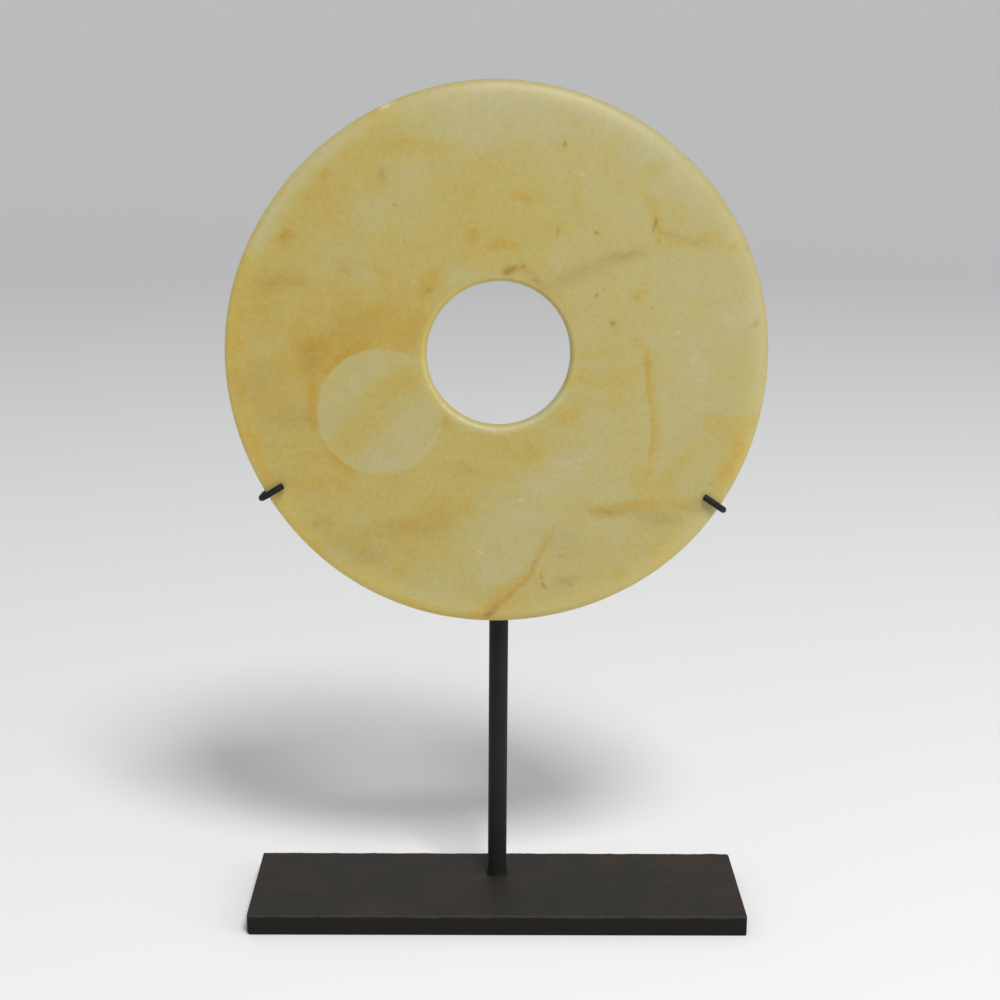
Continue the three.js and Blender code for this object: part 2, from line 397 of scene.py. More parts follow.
FINE_STAINS = (
    (-48, 101, 25, 3.8, 0, 0.64, 0.9),
    (-60, 8, 26, 13, 12, 0.8, 0.9),
    (-84, 5, 15, 10, 10, 0.84, 0.9),
    (-93, -8, 8, 11, 0, 0.78, 0.85),
    (-46, 14, 9, 13, 0, 0.8, 0.85),
    (-35, 34, 9, 4.5, 62, 0.8, 0.9),
    (-88, -63, 13, 4, 0, 0.72, 0.8),
    (-96, -52, 10, 5, 0, 0.64, 0.6),
    (-38, -84, 19, 5, 0, 0.72, 0.9),
    (-28, -75, 8, 6, 0, 0.68, 0.7),
    (-16, -74, 5.5, 4, 0, 0.73, 0.8),
    (-65, -90, 9, 5, 30, 0.71, 0.85),
    (-48, -104, 6, 3.5, 80, 0.66, 0.8),
    (-18, -64, 5, 6, 0, 0.6, 0.6),
    (15, -46, 7, 6, 70, 0.62, 0.85),
    (34, -30, 10, 4.5, 38, 0.62, 0.9),
    (-26, -32, 6, 3.5, 75, 0.78, 0.9),
    (50, -12, 17, 4, 0, 0.56, 0.85),
    (50, 1, 19, 2.5, 2, 0.54, 0.85),
    (58, -22, 8, 4, 0, 0.5, 0.5),
    (97, -46, 8, 4, 40, 0.53, 0.7),
    (87, -57, 11, 4.5, 60, 0.58, 0.8),
    (71, -60, 7, 6, 0, 0.57, 0.85),
    (80, -67, 11, 6, 0, 0.55, 0.7),
    (76, -73.5, 27, 3, 1, 0.6, 0.9),
    (66, -73, 6, 2, 0, 0.78, 0.9),
    (77, -72.5, 3.5, 2.5, 0, 0.78, 0.9),
    (56, -75.5, 9, 3, 4, 0.62, 0.85),
    (78, -99, 4, 8, 0, 0.55, 0.6),
    (60, -107, 3.5, 6, 0, 0.6, 0.85),
    (49, -109, 10, 2.5, 58, 0.52, 0.85),
    (21, -109, 5, 5, 0, 0.58, 0.85),
    (1, -123, 10, 5, 38, 0.7, 0.9),
    (23, -95, 10, 2.6, 62, 0.62, 0.8),
    (11, -113, 10, 3, 44, 0.72, 0.85),
    (-8, -128.5, 12, 3, 3, 0.76, 0.9),
    (-26, -128, 14, 3, -9, 0.6, 0.7),
    (-42, -123, 6, 2.5, -15, 0.62, 0.8),
    (11, 77, 4, 3, 0, 0.82, 0.9),
    (18, 77, 10, 4, -3, 0.65, 0.85),
    (-12, 61, 3.5, 5, 0, 0.82, 0.9),
    (2, 54.5, 9, 3, 0, 0.82, 0.95),
    (-17, 80, 9, 8, 0, 0.58, 0.7),
    (5, 41, 3.8, 2.5, 20, 0.9, 1.0),
    (11, 43, 4, 4, 0, 0.7, 0.85),
    (20, 36, 10, 3, -30, 0.64, 0.85),
    (28, 62, 5, 4, 0, 0.58, 0.85),
    (37, 75, 9, 3, 85, 0.54, 0.85),
    (33, 101, 6, 3, 75, 0.48, 0.85),
    (37, 113, 6, 4, 0, 0.38, 0.6),
    (13, 98, 5, 7, 0, 0.38, 0.6),
    (5, 113, 4, 4, 0, 0.36, 0.6),
    (73.5, 72, 10, 3.5, -69, 0.6, 0.9),
    (75.5, 64, 3, 4, 0, 0.68, 0.85),
    (75, 90, 7, 4, 20, 0.47, 0.85),
    (86, 70, 6, 5, 0, 0.5, 0.7),
    (86, 57, 14, 4, 0, 0.56, 0.85),
    (102, 59, 6, 3, 0, 0.6, 0.75),
    (108, 53, 16, 2.2, 2, 0.52, 0.85),
    (62, 50, 13, 2.5, 12, 0.5, 0.8),
    (68, 29, 4, 3.5, 20, 0.6, 0.95),
    (97, 26, 8, 3, 0, 0.38, 0.7),
    (126, 17, 2.8, 3, 0, 0.52, 0.95),
    (73, 22, 6, 5, 0, 0.4, 0.6),
    (57, 15, 5, 2.5, -60, 0.54, 0.85),
    (68, 8, 3.5, 5, 0, 0.57, 0.85),
    (47, 60, 3, 2, 0, 0.48, 0.8),
    (-85, 88, 3.5, 5.5, 0, 0.84, 0.9),
    (-88, 76, 10, 6, 0, 0.68, 0.8),
    (-79, 96, 5, 2.5, 20, 0.7, 0.85),
    (-97, 79, 4, 2, 40, 0.72, 0.8),
    (-104, 59, 5, 3.5, 40, 0.84, 0.9),
    (-118, 51, 10, 3.5, 61, 0.84, 0.85),
    (-113, 35, 9, 4, 0, 0.74, 0.85),
    (-95, 35, 5, 2, 0, 0.68, 0.8),
    (-55, 38, 3.5, 6, 0, 0.74, 0.8),
    (-63, 48, 5, 5, 0, 0.6, 0.6),
    (-50, 51, 4, 3, 0, 0.62, 0.7),
    (-75, 27, 5, 3, 0, 0.7, 0.7),
    (-88, 6, 9, 3.2, 18, 1.0, 0.95),
    (-70, 1.5, 9, 3, 28, 1.0, 0.95),
    (-80, -5, 6, 3, 45, 1.0, 0.95),
    (-60, 19, 8, 3.5, 8, 0.88, 0.8),
    (-97, 14, 6, 4, 0, 0.76, 0.8),
    (-90, -21, 13, 3.2, 82, 0.93, 0.9),
    (-102, -22, 8, 4, 0, 0.7, 0.8),
    (-105, -3, 9, 3, 15, 0.7, 0.65),
    (-91, -34, 6, 3, 90, 0.87, 0.9),
    (-80, -50, 10, 3.5, -48, 0.84, 0.95),
    (-71, -58, 6, 3, -25, 0.78, 0.9),
)
# Stain that follows the edge, and painted sheen and highlight where the level is pale: radius, half width,
# from and to in degrees, level, opacity.
EDGE_STAINS_AND_PAINTED_LIGHT = (
    (127.6, 2.6, 160, 214, 0.74, 0.85),
    (127.0, 2.2, 194, 207, 0.84, 0.8),
    (127.0, 5.0, -34, -14, 0.85, 0.85),
    (124.0, 2.5, 112, 122, 0.66, 0.7),
    (130.0, 2.5, 243, 262, 0.6, 0.6),
    # painted sheen: the upper left of the rounded edge painted pale
    (129.0, 5.0, 118, 162, 0.1, 0.8),
    # painted highlight: the bore's lower edge painted palest
    (36.3, 1.6, 185, 335, 0.0, 0.85),
)
# Inside the pale round patch.
PATCH_STAINS = (
    (-72, -14, 12, 9, 30, 0.24, 0.8),
    (-57, -6, 8, 5, 0, 0.14, 0.8),
    (-69, -20, 6, 8, 0, 0.18, 0.6),
    (-84, -33, 5, 10, 0, 0.2, 0.8),
    (-42, -42, 14, 12, 0, 0.18, 0.85),
    (-55, -52, 18, 6, 0, 0.18, 0.85),
    (-41, -25, 8, 8, 0, 0.26, 0.7),
    (-47, -13, 10, 9, 0, 0.64, 0.9),
    (-61, -28, 17, 8, 52, 0.58, 0.9),
    (-75, -41, 10, 7, 40, 0.62, 0.9),
    (-62, -21, 3, 3, 0, 0.58, 0.8),
)
# Thin brown dirt in the surface, which dulls the colour, and one painted shadow under the right hook: right,
# up, half length, half width, turn, strength.
BROWN_DIRT_AND_SHADOW = (
    (-73, 44, 8, 5, 0, 0.22),
    (-105, 36, 13, 4, 0, 0.35),
    (-90, 0, 6, 9, 0, 0.45),
    (-72, 12, 12, 8, 0, 0.25),
    (57, 47.5, 16, 2.8, 16, 0.65),
    (38, 41, 15, 5, 20, 0.45),
    (58, -76, 12, 3.5, 0, 0.5),
    (80, -79, 14, 4, -8, 0.5),
    # painted shadow of the right hook's prong on the face
    (98, -74, 8, 5, 0, 0.4),
    (3.5, 41, 3, 2.5, 0, 0.6),
    (9, 43, 3, 2, 0, 0.6),
    (20, 35, 10, 3, -32, 0.4),
    (-55, 86, 2, 5, 0, 0.5),
    (-45, -86, 22, 5, 0, 0.3),
    (-80, -95, 12, 6, 0, 0.4),
    (-30, -80, 12, 4, 10, 0.25),
    (35, -111, 5, 2.5, 0, 0.6),
    (-2, -126, 5, 2.5, 40, 0.9),
    (83, 61, 6, 2, 0, 0.4),
    (96, 57, 9, 2.5, 0, 0.4),
    (-15, -56, 7, 3, 0, 0.3),
    (-102, 58, 5, 3, 30, 0.25),
    (-120, -15, 14, 10, 0, 0.25),
    (-100, -32, 20, 6, 0, 0.3),
    (-65, -98, 12, 5, 0, 0.4),
    (33, -93, 10, 7, 0, 0.3),
    (-88, -85, 8, 3, 0, 0.3),
)
# Dark specks: right, up, half length, half width, turn, depth of colour.
SPECKS = (
    (-56.3, 87.5, 2.2, 0.8, 80, 0.6),
    (-50, 73, 1.3, 0.8, 0, 0.7),
    (-104.5, 57.6, 1.8, 1.1, 30, 0.6),
    (-102, 59.5, 1.5, 0.9, 60, 0.6),
    (-110, 35, 3.5, 0.9, -4, 0.6),
    (-96.5, 35, 2.2, 0.8, 0, 0.6),
    (-70, 61, 1.5, 0.8, 0, 0.5),
    (-83, 64.5, 1.2, 0.8, 40, 0.5),
    (-75, 41.5, 2.5, 0.7, 0, 0.5),
    (-67, 20.5, 1.1, 0.7, 0, 0.5),
    (-33.5, 32, 1.7, 0.9, 20, 0.7),
    (4.5, 40.8, 2.4, 1.2, 15, 0.75),
    (7.8, 43.4, 1.7, 0.8, 50, 0.75),
    (12.5, 43.8, 1.0, 1.0, 0, 0.7),
    (18, 37, 1.6, 0.7, -30, 0.6),
    (29, 61, 2.4, 0.8, 85, 0.7),
    (31.8, 102.5, 1.6, 0.9, 80, 0.8),
    (44.8, 109, 1.1, 0.9, 0, 0.7),
    (36.5, 113, 0.9, 0.8, 0, 0.5),
    (7.5, 88, 0.9, 0.8, 0, 0.6),
    (37, 78, 4.5, 0.6, 87, 0.5),
    (36.2, 72, 1.6, 0.9, 80, 0.5),
    (47.5, 60.3, 1.3, 1.0, 0, 0.8),
    (76.3, 65.2, 2.2, 0.8, 80, 0.9),
    (75.2, 61.8, 1.6, 0.7, 85, 0.8),
    (78, 56.6, 1.2, 0.8, -50, 0.7),
    (83, 57, 1.4, 0.7, 0, 0.5),
    (90, 57.5, 1.2, 0.8, 0, 0.5),
    (101, 60, 1.2, 0.9, 0, 0.6),
    (89.5, 73, 0.9, 0.8, 0, 0.5),
    (102, 70.3, 0.9, 0.8, 0, 0.6),
    (48, 30, 1.4, 0.8, 50, 0.8),
    (51.5, 33, 1.1, 0.6, 35, 0.6),
    (71, 35, 0.8, 0.7, 0, 0.6),
    (67.5, 28.5, 1.4, 1.1, 0, 0.5),
    (75, 23.8, 1.2, 0.9, 40, 0.6),
    (56.2, 16.3, 1.4, 1.0, 0, 0.9),
    (58, 12, 0.9, 0.8, 0, 0.5),
    (67.3, 7.8, 1.0, 0.9, 0, 0.6),
    (125.8, 16.7, 1.2, 1.1, 0, 0.6),
    (62, 49.8, 4.5, 0.6, 8, 0.6),
    (80, 50, 2.2, 0.6, 0, 0.5),
    (82.5, 47, 1.4, 0.5, -50, 0.5),
    (-90, -2, 1.8, 1.2, 0, 0.6),
    (-107.5, -30.5, 1.7, 0.8, 0, 0.5),
    (-89, -84, 2.6, 0.8, 0, 0.5),
    (-87.5, -91.5, 0.9, 0.7, 0, 0.5),
    (-14, -56, 2.4, 0.7, -20, 0.5),
    (-2, -57.6, 2.2, 0.7, 0, 0.5),
    (-34, -107, 0.9, 0.8, 0, 0.6),
    (22.3, -110, 1.4, 0.7, 90, 0.8),
    (23.8, -114.2, 2.0, 0.8, -55, 1.0),
    (30, -114.3, 1.0, 0.9, 0, 0.6),
    (33.5, -111, 2.4, 0.6, 0, 0.6),
    (37, -113.5, 1.6, 0.6, -60, 0.6),
    (22, -122.5, 1.8, 0.6, 70, 0.6),
    (32, -98.8, 2.8, 0.6, 0, 0.6),
    (10, -89.5, 0.9, 0.8, 0, 0.5),
    (43.5, -12, 2.4, 0.8, 0, 0.4),
    (58, -26.5, 1.4, 0.8, -60, 0.5),
    (71.7, -3.5, 1.2, 0.9, 0, 0.5),
    (75, -57.5, 1.1, 0.9, 0, 0.5),
    (106, -62.5, 1.6, 1.0, 0, 0.6),
    (55, -76.8, 3.2, 0.7, 0, 0.6),
    (62, -77.5, 2.0, 0.7, 0, 0.5),
    (82.5, -78, 1.5, 0.8, 0, 0.5),
    (84, -82, 1.8, 0.8, 0, 0.5),
    (60, -60, 1.5, 0.6, 0, 0.5),
    (70, -94, 1.4, 0.9, 0, 0.5),
    (-4, -129, 2.6, 1.0, 30, 0.7),
)
# Pale flecks and the small chip in the edge: right, up, half length, half width, turn, strength.
PALE_FLECKS = (
    (-54.5, 120.3, 2.4, 1.0, 24, 1.0),
    (-41.5, -52.5, 5.0, 0.6, 35, 0.22),
    (-32.5, -43.5, 4.0, 0.6, 58, 0.22),
    (12, -71, 1.6, 0.8, 20, 0.4),
    (-8, -97, 1.4, 0.8, -15, 0.4),
    (40, 88, 1.5, 0.7, 0, 0.35),
    (88, 12, 1.5, 0.7, 30, 0.35),
)
# Healed cracks, as places along each line.
VEINS = (
    ((27.5, -88), (22.5, -96), (19.5, -102), (17.2, -108), (14.5, -112), (10, -115), (7.5, -118),
     (5.2, -120.5), (2, -122.5), (-1, -126), (-4.5, -131)),
)
SEAM = (
    (68.5, 10), (71.2, 2), (72.2, -8), (73.4, -18), (74.8, -28), (75.4, -37), (74.6, -45), (73.6, -52),
    (73, -62),
)
GHOST = (-57.2, -27.7, 31.0)  # where a smaller disc once lay and kept the stain off: right, up, radius
GHOST_STAIN = 0.35  # the patch's own stain, under its strokes
PLAIN_STAIN = (0.43, -0.0013)  # the stain under all strokes: at the middle, and its change to the right
STAIN_WARP = (3.0, 1.5)  # how far the strokes wander, broadly and finely
BACK_SHARE = 0.35  # how much of the fine stain comes through at the back
YELLOW_EDGE = (-27.5, 100.0, 0.6, 0.85)  # the lower right patch: top, left side, level, opacity
RIM_PAINTED_LIGHT = (0.13, 0.19, 231, 117.0, 13.5)  # painted light, paler: all round, one side more, its degrees, from, width
BORE_PAINTED_LIGHT = (0.11, 39.5, 3.0)  # painted light at the bore, the same: how much, from, width
MASKS = (
    "iron_and_painted_light", "patch_iron", "dirt_and_shadow", "specks", "flecks", "painted_edge_light", "vein", "vein_strength", "seam", "seam_strength",
)
# How much the noise moves the stain's level, up and down.
BLOTCH_SHARE = 0.42
MOTTLE_SHARE = 0.46


def half_section(half, face_step):
    """Radius and half thickness from the middle of the bore wall over one face to the middle of the rim."""

    def rounded(edge, towards, width, step, steps):
        along = math.sin(step / steps * math.pi / 2) ** 0.8
        return edge - towards * width * (1 - along), half * (1 - along ** CROWN[0]) ** CROWN[1]

    points = [rounded(BORE_RADIUS, -1, BORE_WIDTH, step, BORE_STEPS) for step in range(BORE_STEPS, 0, -1)]
    flat_start, flat_end = BORE_RADIUS + BORE_WIDTH, DISC_RADIUS - RIM_WIDTH
    steps = round((flat_end - flat_start) / face_step)
    points += [(flat_start + (flat_end - flat_start) * step / steps, half) for step in range(steps + 1)]
    points += [rounded(DISC_RADIUS, 1, RIM_WIDTH, step, RIM_STEPS) for step in range(1, RIM_STEPS + 1)]
    return points


def spun_ring(section, steps):
    """Closed ring turned from a section of radius and height about the Z axis."""
    bm = bmesh.new()
    verts = [bm.verts.new((radius, 0, height)) for radius, height in section]
    edges = [bm.edges.new((a, b)) for a, b in zip(verts, verts[1:] + verts[:1])]
    revolve(bm, verts, edges, steps)
    bmesh.ops.remove_doubles(bm, verts=bm.verts, dist=1e-4)
    bmesh.ops.recalc_face_normals(bm, faces=bm.faces)
    return bm


def in_stroke(u, v, right, up, length, width, turn):
    """Distance from a stroke's middle, where 1 is its edge."""
    c, s = math.cos(math.radians(turn)), math.sin(math.radians(turn))
    return np.hypot(((u - right) * c + (v - up) * s) / length, ((v - up) * c - (u - right) * s) / width)


def paint(level, u, v, strokes):
    for *stroke, target, opacity in strokes:
        weight = opacity * np.exp(-in_stroke(u, v, *stroke) ** 3)
        level = level + (target - level) * weight
    return level


def line_distance(u, v, places):
    """Distance to a line, signed by its side, and how far along it as a share from 0 to 1."""
    best = np.full_like(u, 1e9)
    signed, along = np.zeros_like(u), np.zeros_like(u)
    for i, ((a, b), (c, d)) in enumerate(zip(places, places[1:])):
        du, dv = c - a, d - b
        size = math.hypot(du, dv)
        t = np.clip(((u - a) * du + (v - b) * dv) / size**2, 0, 1)
        gap = np.hypot(u - a - t * du, v - b - t * dv)
        side = np.where((u - a) * dv - (v - b) * du >= 0, 1, -1)
        nearer = gap < best
        best = np.where(nearer, gap, best)
        signed = np.where(nearer, gap * side, signed)
        along = np.where(nearer, (i + t) / (len(places) - 1), along)
    return signed, along


def strongest(u, v, strokes, fade):
    """The strongest of some marks at each place, each fading from its middle to fade times its size."""
    mark = np.zeros_like(u)
    for *stroke, strength in strokes:
        mark = np.maximum(mark, strength * (1 - in_stroke(u, v, *stroke) / fade))
    return mark


def store(mesh, name, values):
    attribute = mesh.attributes.new(name, "FLOAT", "POINT")
    attribute.data.foreach_set("value", values.astype(np.float32))


def stain_disc(mesh, u, v, w):
    """Writes where the stains, the painted light and the painted shadow lie to the mesh, for the stone's
    material to colour.
    """
    places = np.stack([u, v, w], 1)
    broad = np.array([noise.noise_vector(Vector(p) / 20) for p in places])
    small = np.array([noise.noise_vector(Vector(p) / 6 + Vector((9, 4, 2))) for p in places])
    wu = u + STAIN_WARP[0] * broad[:, 0] + STAIN_WARP[1] * small[:, 0]
    wv = v + STAIN_WARP[0] * broad[:, 1] + STAIN_WARP[1] * small[:, 1]
    front = np.clip((w + 3) / 6, 0, 1)  # 1 in front, 0 behind, and fading over the edge
    level = PLAIN_STAIN[0] + PLAIN_STAIN[1] * u
    level = paint(level, wu, wv, BROAD_STAINS)
    plain = level
    level = paint(level, wu, wv, FINE_STAINS)
    radius, angle = np.hypot(u, v), np.degrees(np.arctan2(v, u))
    for ring, width, start, end, target, opacity in EDGE_STAINS_AND_PAINTED_LIGHT:
        turn = (angle - start) % 360
        ends = np.clip(np.minimum(turn, (end - start) - turn) / 6, 0, 1)
        weight = opacity * ends * np.exp(-(((radius - ring + small[:, 2]) / width) ** 2))
        level = level + (target - level) * weight
    # A clean upper edge to the yellow patch at the lower right.
    top, left, target, opacity = YELLOW_EDGE
    edge = np.clip((top + 0.8 * small[:, 1] - v) / 1.2, 0, 1) * np.exp(-np.clip((top - v) / 12, 0, 9) ** 2)
    span = np.clip((u - left + 3 * small[:, 0]) / 4, 0, 1)
    level = level + (target - level) * opacity * edge * span
    level = plain + (level - plain) * (BACK_SHARE + (1 - BACK_SHARE) * front)
    store(mesh, "iron_and_painted_light", level)
    inside = paint(np.full_like(u, GHOST_STAIN), wu, wv, PATCH_STAINS)
    store(mesh, "patch_iron", level + (inside - level) * front)
    dirt_and_shadow = np.zeros_like(u)
    for *stroke, strength in BROWN_DIRT_AND_SHADOW:
        dirt_and_shadow = np.maximum(dirt_and_shadow, strength * np.exp(-in_stroke(wu, wv, *stroke) ** 2.5))
    store(mesh, "dirt_and_shadow", dirt_and_shadow * front)
    # Painted light: the rounded edge is painted paler, least at the upper right and most at the lower left,
    # and the bore's edge paler all round.
    around, more, heading, start, width = RIM_PAINTED_LIGHT
    painted_edge_light = around + more * np.cos(np.radians(angle - heading))
    painted_edge_light = painted_edge_light * np.clip((radius - start) / width, 0, 1.2) ** 2
    strength, start, width = BORE_PAINTED_LIGHT
    store(mesh, "painted_edge_light", painted_edge_light + strength * np.clip((start - radius) / width, 0, 1))
    store(mesh, "flecks", strongest(u, v, PALE_FLECKS, 1.8) * front)
    store(mesh, "specks", strongest(u, v, SPECKS, 2.2) * front)
    distance, strength = np.full_like(u, 9.0), np.zeros_like(u)
    for line in VEINS:
        signed, along = line_distance(u + 0.5 * small[:, 0], v + 0.5 * small[:, 1], line)
        near = np.abs(signed) < np.abs(distance)
        ends = np.clip(np.minimum(along, 1.15 - along) / 0.2, 0, 1)
        distance = np.where(near, signed, distance)
        strength = np.where(near, ends, strength)
    store(mesh, "vein", distance)
    store(mesh, "vein_strength", strength * front)
    signed, along = line_distance(u + 0.6 * broad[:, 0], v, SEAM)
    store(mesh, "seam", signed)
    store(mesh, "seam_strength", np.clip(np.minimum(along, 1 - along) / 0.18, 0, 1) * front)


def jade_material(settings):
    """Nephrite, ground flat and rubbed to a satin polish: waxy and a little translucent, with iron stains."""
    material, tree = new_material("nephrite_jade")
    place = add(tree, "TexCoord").outputs["Object"]
    disc = add(
        tree, "Mapping", {"Vector": place, "Location": DISC_CENTRE * MM,
                          "Rotation": (math.pi / 2 - settings.lean, 0, 0), "Scale": (MM, MM, MM)},
        vector_type="TEXTURE",
    ).outputs["Vector"]
    blotch = cloud(tree, disc, 9, 4.0, 0.55)
    mottle = cloud(tree, disc, 3, 5.0, 0.68)
    freckle = cloud(tree, disc, 2.2, 6.0, 0.75)
    grain = cloud(tree, disc, 1.1, 2.0, 0.6)
    mask = {name: add(tree, "Attribute", attribute_name=name).outputs["Fac"] for name in MASKS}

    # The pale round patch keeps its own stain, inside a crisp border.
    right, up, radius = GHOST
    reach = distance_to(tree, disc, (right, up, settings.thickness / MM / 2))
    reach = calc(tree, "MULTIPLY_ADD", mottle, 1.2, reach)
    inside = ranged(tree, reach, radius + 0.1, radius + 1.1, 1.0, 0.0, smooth=True)
    level = add(tree, "Mix", {"Factor": inside, 2: mask["iron_and_painted_light"], 3: mask["patch_iron"]}).outputs[0]

    # The seam's stain ends sharply on its right and fades to the left.
    right_of_seam = ranged(tree, mask["seam"], -0.9, 0.5, 1.0, 0.0, smooth=True)
    left_of_seam = ranged(tree, mask["seam"], -7.0, -0.5, smooth=True)
    seam = calc(tree, "MULTIPLY", right_of_seam, left_of_seam)
    seam = calc(tree, "MULTIPLY", seam, mask["seam_strength"])
    level = calc(tree, "MULTIPLY_ADD", seam, 0.4, level)
    level = calc(tree, "MULTIPLY_ADD", blotch, BLOTCH_SHARE, level)
    level = calc(tree, "MULTIPLY_ADD", mottle, MOTTLE_SHARE, level)
    level = calc(tree, "SUBTRACT", level, (BLOTCH_SHARE + MOTTLE_SHARE) / 2)
    colour = add(tree, "ValToRGB", {"Fac": level}, stops=JADE).outputs["Color"]

    # Brown dirt and the painted shadow under the right hook, healed cracks and specks.
    dirt_and_shadow = calc(tree, "MULTIPLY_ADD", mottle, 1.1, 0.45)
    dirt_and_shadow = calc(tree, "MULTIPLY", dirt_and_shadow, mask["dirt_and_shadow"], clamp=True)
    colour = blend(tree, dirt_and_shadow, colour, linear(DIRT_AND_SHADOW_TINT), "MULTIPLY")
    crack = ranged(tree, calc(tree, "ABSOLUTE", mask["vein"]), 0.2, 1.9, 0.85, 0.0, smooth=True)
    crack = calc(tree, "MULTIPLY", crack, mask["vein_strength"])
    crack = calc(tree, "MULTIPLY", crack, mottle)
    colour = blend(tree, crack, colour, linear(CRACK))
    speck = calc(tree, "MULTIPLY_ADD", grain, 0.5, mask["specks"])
    speck = ranged(tree, speck, 0.42, 1.2, 0.0, 0.75, smooth=True)
    colour = blend(tree, speck, colour, linear(SPECK))

    # Dark and pale freckles all over, and the few pale flecks.
    colour = blend(tree, ranged(tree, freckle, 0.59, 0.7, 0.0, 0.36), colour, linear(DARK_FRECKLE))
    colour = blend(tree, ranged(tree, freckle, 0.4, 0.3, 0.0, 0.34), colour, linear(PALE_FRECKLE))
    colour = blend(tree, mask["flecks"], colour, linear(PALE_FLECK))

    # The grain and the painted light on the edges only change how light the stone is.
    shade = ranged(tree, grain, 0.3, 0.7, 1.02, 1.16)
    shade = calc(tree, "MULTIPLY_ADD", freckle, -0.18, shade)
    shade = calc(tree, "ADD", shade, mask["painted_edge_light"])
    colour = blend(tree, 1.0, colour, shade, "MULTIPLY")
    bump = add(tree, "Bump", {"Height": mottle, "Strength": 0.04, "Distance": 0.0002}).outputs["Normal"]
    shader = add(
        tree, "BsdfPrincipled",
        {"Base Color": colour, "Roughness": settings.roughness, "IOR": 1.61, "Normal": bump,
         "Subsurface Weight": 0.5, "Subsurface Radius": (1.0, 0.8, 0.45), "Subsurface Scale": 0.003},
    )
    add(tree, "OutputMaterial", {"Surface": shader.outputs[0]})
    return material


def carve_disc(settings):
    half = settings.thickness / MM / 2
    front = half_section(half, FACE_STEP)
    back = [(radius, -height) for radius, height in reversed(half_section(half, BACK_STEP)[1:-1])]
    bm = spun_ring(front + back, TURN_STEPS)
    mesh = bpy.data.meshes.new("shape")
    bm.to_mesh(mesh)
    bm.free()
    co = np.empty(len(mesh.vertices) * 3)
    mesh.vertices.foreach_get("co", co)
    co = co.reshape(-1, 3)
    radius = np.hypot(co[:, 0], co[:, 1])
    angle = np.arctan2(co[:, 1], co[:, 0])
    outwards = (radius - BORE_RADIUS) / (DISC_RADIUS - BORE_RADIUS)
    swell = outwards * waves(OUTLINE_WAVES, angle) + (1 - outwards) * waves(BORE_WAVES, angle)
    stretch = 1 + swell / radius
    u = co[:, 0] * stretch + (1 - outwards) * BORE_OFFSET[0]
    v = co[:, 1] * stretch + (1 - outwards) * BORE_OFFSET[1]
    w = co[:, 2]
    mesh.vertices.foreach_set("co", np.stack([u, v, w], 1).ravel())
    stain_disc(mesh, u, v, w)
    mesh.transform(disc_matrix(settings.lean))
    bm = bmesh.new()
    bm.from_mesh(mesh)
    bpy.data.meshes.remove(mesh)
    return finish_piece(bm, "carved_jade_disc", jade_material(settings), "jade", "jade_disc", sharp=60)


# ---------------------------------------------------------------- stand


def steel_material(name, settings, stops, shine, top=None):
    """Mild steel, blackened by heat and oil and waxed: nearly black, with a soft brown bloom.

    Where top is given, the sides under it are painted darker than the top as painted shade, and the arris
    under that height is worn to a paler line along the front.
    """
    material, tree = new_material(name)
    place = add(tree, "TexCoord").outputs["Object"]
    bloom = cloud(tree, place, 22 * MM, 4.0, 0.6)
    grit = cloud(tree, place, 0.9 * MM, 3.0, 0.7)
    colour = add(tree, "ValToRGB", {"Fac": bloom}, stops=stops).outputs["Color"]
    colour = blend(tree, 1.0, colour, ranged(tree, grit, 0.3, 0.7, 0.75, 1.25), "MULTIPLY")
    if top:
        axes = add(tree, "SeparateXYZ", {0: place}).outputs
        # Painted shade: below the top's arris the sides and front are painted much darker than the top.
        sides = ranged(tree, axes[2], (top - 1.0) * MM, (top - 0.4) * MM, 0.2, 1.0)
        colour = blend(tree, 1.0, colour, sides, "MULTIPLY")
        wander = cloud(tree, place, 9 * MM, 4.0)
        edge = calc(tree, "MULTIPLY_ADD", wander, 2 * MM, axes[2])
        under = ranged(tree, edge, (top - 0.6) * MM, (top + 0.9) * MM)
        front = ranged(tree, axes[1], (PLATE_LOW.y + 1.2) * MM, (PLATE_LOW.y + 0.3) * MM)
        worn = calc(tree, "MULTIPLY", under, front)
        # A paler ring on the plate just in front of the post's foot.
        foot = (POST_MIDDLE.x * MM, (POST_MIDDLE.y - 1.6) * MM, top * MM)
        ring = ranged(tree, distance_to(tree, place, foot), 6.6 * MM, 4.8 * MM, smooth=True)
        worn = calc(tree, "MAXIMUM", worn, calc(tree, "MULTIPLY", ring, wander))
        colour = blend(tree, worn, colour, linear(WORN_STEEL))
    rough = ranged(tree, grit, 0.0, 1.0, settings.roughness - 0.1, settings.roughness + 0.1)
    bump = add(tree, "Bump", {"Height": grit, "Strength": 0.6, "Distance": 0.00012}).outputs["Normal"]
    shader = add(
        tree, "BsdfPrincipled",
        {"Base Color": colour, "Roughness": rough, "Specular IOR Level": shine, "Normal": bump},
    )
    add(tree, "OutputMaterial", {"Surface": shader.outputs[0]})
    return material


def plate_material(settings):
    """Flat bar with thin brown and green-grey mill scale."""
    return steel_material("scaled_bar_steel", settings, PLATE_SCALE, 0.2, PLATE_TOP)


def rod_material(settings):
    """Round rod and wire, blacker than the plate. The post and both hooks share it."""
    name = "blackened_rod_steel"
    return bpy.data.materials.get(name) or steel_material(name, settings, ROD_BLACK, 0.22)


